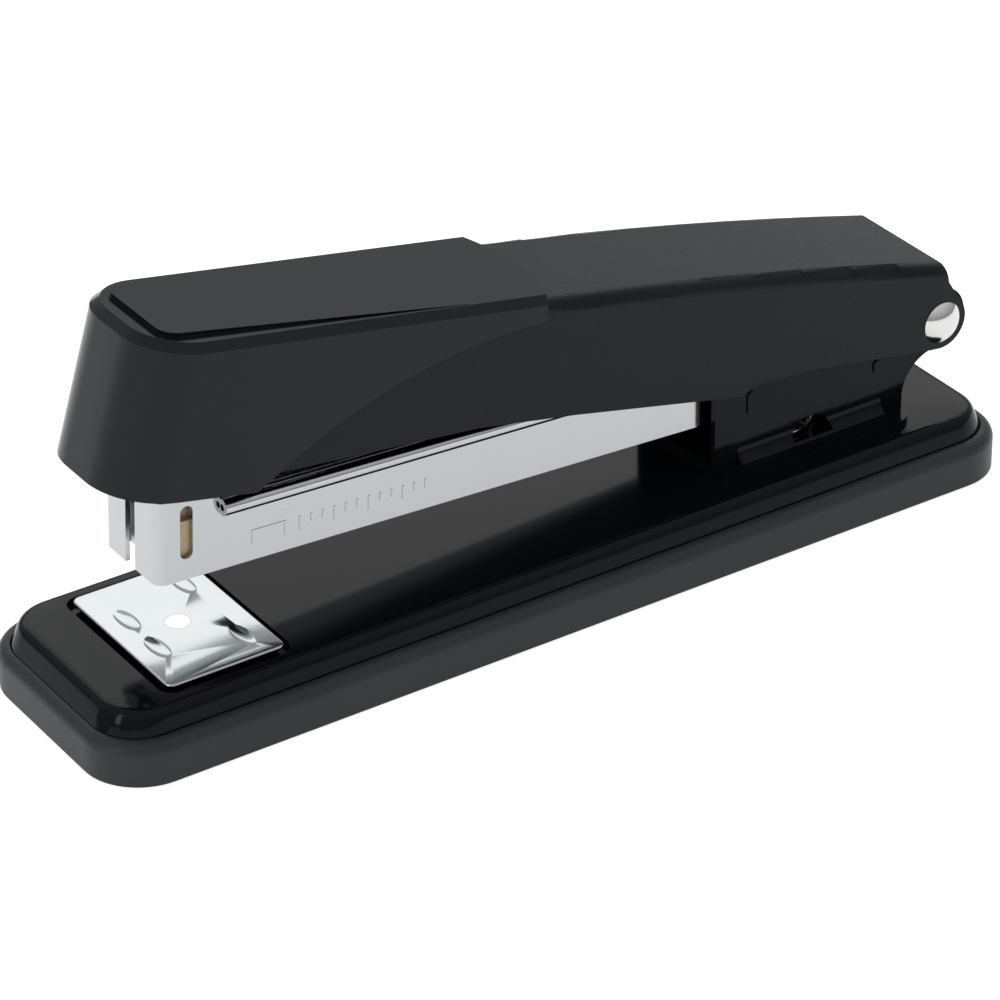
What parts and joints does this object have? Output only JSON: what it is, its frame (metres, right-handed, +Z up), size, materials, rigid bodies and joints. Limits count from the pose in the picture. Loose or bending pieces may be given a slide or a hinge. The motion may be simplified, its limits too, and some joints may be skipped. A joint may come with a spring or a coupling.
{
  "type": "stapler",
  "caption": "Full-strip desktop stapler: a sprung chrome magazine and a capped handle share one hinge pin over a weighted base with a turning anvil.",
  "frame": {"origin": "centre of the sole's footprint, on the surface it stands on", "axes": "+X from the nose to the hinge, +Y across, +Z up"},
  "size_m": [0.1578, 0.0408, 0.0618],
  "materials": {
    "sole_plastic": "satin black moulded plastic",
    "black_enamel": "smooth gloss black enamel on pressed steel",
    "satin_enamel": "fine satin black enamel on pressed steel",
    "cap_plastic": "polished black moulded plastic",
    "chrome": "bright chrome plate",
    "nickel": "bright nickel plate",
    "zinc": "plain zinc-plated steel",
    "spring_steel": "nickel-plated spring wire",
    "pusher_plastic": "cream moulded plastic",
    "knob_plastic": "black moulded plastic"
  },
  "bodies": {
    "base": {"sole": "sole_plastic", "base_plate": "black_enamel", "hinge_bracket": "black_enamel", "bracket_rivets": "black_enamel", "spring_cup": "black_enamel", "return_spring": "spring_steel", "hinge_pin": "nickel", "pin_spacers": "zinc", "cover_bush": "zinc", "anvil_bush": "zinc"},
    "anvil_stem": {"anvil_stem": "nickel", "anvil_button": "knob_plastic", "anvil_spring": "spring_steel"},
    "anvil": {"anvil_plate": "chrome"},
    "magazine": {"magazine_channel": "chrome", "staple_rail": "zinc", "rear_block": "knob_plastic", "guide_rod": "zinc", "rod_stop": "zinc", "magazine_saddle": "black_enamel", "saddle_rivets": "zinc", "pusher_spring": "spring_steel"},
    "pusher": {"pusher": "pusher_plastic"},
    "cover": {"staple_cover": "chrome", "cover_cup": "zinc", "press_spring": "spring_steel"},
    "handle": {"handle_channel": "satin_enamel", "cap": "cap_plastic", "driver_blade": "zinc", "driver_holder": "zinc", "driver_rivets": "zinc", "spring_plunger": "zinc"}
  },
  "joints": [
    {"name": "magazine_hinge", "type": "hinge", "parent": "base", "child": "magazine", "pos_m": [0.0707, 0, 0.0238], "axis": [0, 1, 0], "range_deg": [-4.4, 0], "stiffness_Nm_per_rad": 6, "springref_deg": 6.88, "deforming": ["return_spring"]},
    {"name": "cover_hinge", "type": "hinge", "parent": "magazine", "child": "cover", "pos_m": [0.0707, 0, 0.0238], "axis": [0, 1, 0], "range_deg": [0, 85]},
    {"name": "press_hinge", "type": "hinge", "parent": "cover", "child": "handle", "pos_m": [0.0707, 0, 0.0238], "axis": [0, 1, 0], "range_deg": [-4.2, 0], "stiffness_Nm_per_rad": 6, "springref_deg": 6.88, "deforming": ["press_spring"]},
    {"name": "pusher_slide", "type": "slide", "parent": "magazine", "child": "pusher", "axis": [0.9988, 0, -0.0495], "range_m": [0, 0.096], "stiffness_N_per_m": 20, "springref_m": -0.05, "deforming": ["pusher_spring"]},
    {"name": "anvil_lift", "type": "slide", "parent": "base", "child": "anvil_stem", "axis": [0, 0, 1], "range_m": [0, 0.0025], "stiffness_N_per_m": 400, "springref_m": -0.002, "deforming": ["anvil_spring"]},
    {"name": "anvil_turn", "type": "hinge", "parent": "anvil_stem", "child": "anvil", "pos_m": [-0.057, 0, 0.0104], "axis": [0, 0, 1], "range_deg": [0, 180]}
  ]
}
